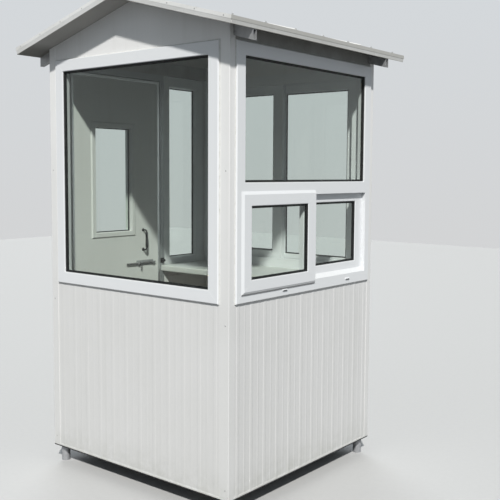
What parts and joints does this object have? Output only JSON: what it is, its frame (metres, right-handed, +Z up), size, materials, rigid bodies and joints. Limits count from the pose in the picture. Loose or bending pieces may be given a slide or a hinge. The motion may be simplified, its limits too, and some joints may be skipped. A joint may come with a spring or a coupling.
{
  "type": "security guard booth",
  "caption": "Small free-standing guard booth of white insulated panels with large windows, a sliding hatch, a hinged side door, a desk and a low gable roof on short legs.",
  "frame": {"origin": "on the ground under the middle of the booth", "axes": "+Z up; the front gable with the fixed window faces -Y, the sliding hatch faces +X, the door faces -X"},
  "size_m": [1.562, 1.544, 2.558],
  "materials": {
    "wall_panel": "satin white sandwich panel skin with shallow ribs",
    "corner_trim": "satin white folded trim",
    "window_plastic": "semi-gloss white window profile",
    "window_glass": "clear float glass with a faint green tint",
    "door_paint": "satin white",
    "sill_aluminium": "plain mill finish",
    "roof_sheet": "satin white roof sheet",
    "galvanised_steel": "dull galvanised grey",
    "base_steel": "dark grey primer",
    "floor_sheet": "sealed plywood sheet",
    "desk_laminate": "matt laminated board",
    "ledger_steel": "satin light grey",
    "black_metal": "satin black",
    "bolt_steel": "plain steel rod"
  },
  "bodies": {
    "booth": {"back_sashes": "window_plastic", "back_window_frame": "window_plastic", "back_window_glass": "window_glass", "base_rails_end": "base_steel", "base_rails_side": "base_steel", "corner_post_back_left": "corner_trim", "corner_post_back_right": "corner_trim", "corner_post_front_left": "corner_trim", "corner_post_front_right": "corner_trim", "desk_ledgers": "ledger_steel", "desk_top": "desk_laminate", "door_bolt_keeper": "galvanised_steel", "door_head": "door_paint", "door_jamb_hinge": "door_paint", "door_jamb_latch": "door_paint", "door_sill": "sill_aluminium", "floor_deck": "floor_sheet", "floor_joist": "base_steel", "front_window_frame": "window_plastic", "front_window_glass": "window_glass", "gable_back": "wall_panel", "gable_front": "wall_panel", "hatch_glass": "window_glass", "hatch_sash_front": "window_plastic", "hatch_sash_rear": "window_plastic", "header_left": "wall_panel", "header_right": "wall_panel", "hinge_frame_plates": "galvanised_steel", "legs": "galvanised_steel", "outriggers": "galvanised_steel", "ridge_cap": "roof_sheet", "right_window_frame": "window_plastic", "right_window_glass": "window_glass", "roof_panel_left": "roof_sheet", "roof_panel_right": "roof_sheet", "side_window_frame": "window_plastic", "side_window_glass": "window_glass", "wall_back": "wall_panel", "wall_front": "wall_panel", "wall_left": "wall_panel", "wall_right": "wall_panel"},
    "door": {"door_leaf": "door_paint", "door_light_frame": "door_paint", "door_light_glass": "window_glass", "door_pulls": "black_metal", "door_bolt_body": "black_metal", "hinge_door_plates": "galvanised_steel"},
    "bolt": {"door_bolt_rod": "bolt_steel"}
  },
  "joints": [
    {"name": "door_hinge", "type": "hinge", "parent": "booth", "child": "door", "pos_m": [-0.666, -0.548, 1.24], "axis": [0, 0, 1], "range_deg": [0, 110]},
    {"name": "bolt_slide", "type": "slide", "parent": "door", "child": "bolt", "axis": [0, 1, 0], "range_m": [0, 0.082]}
  ]
}
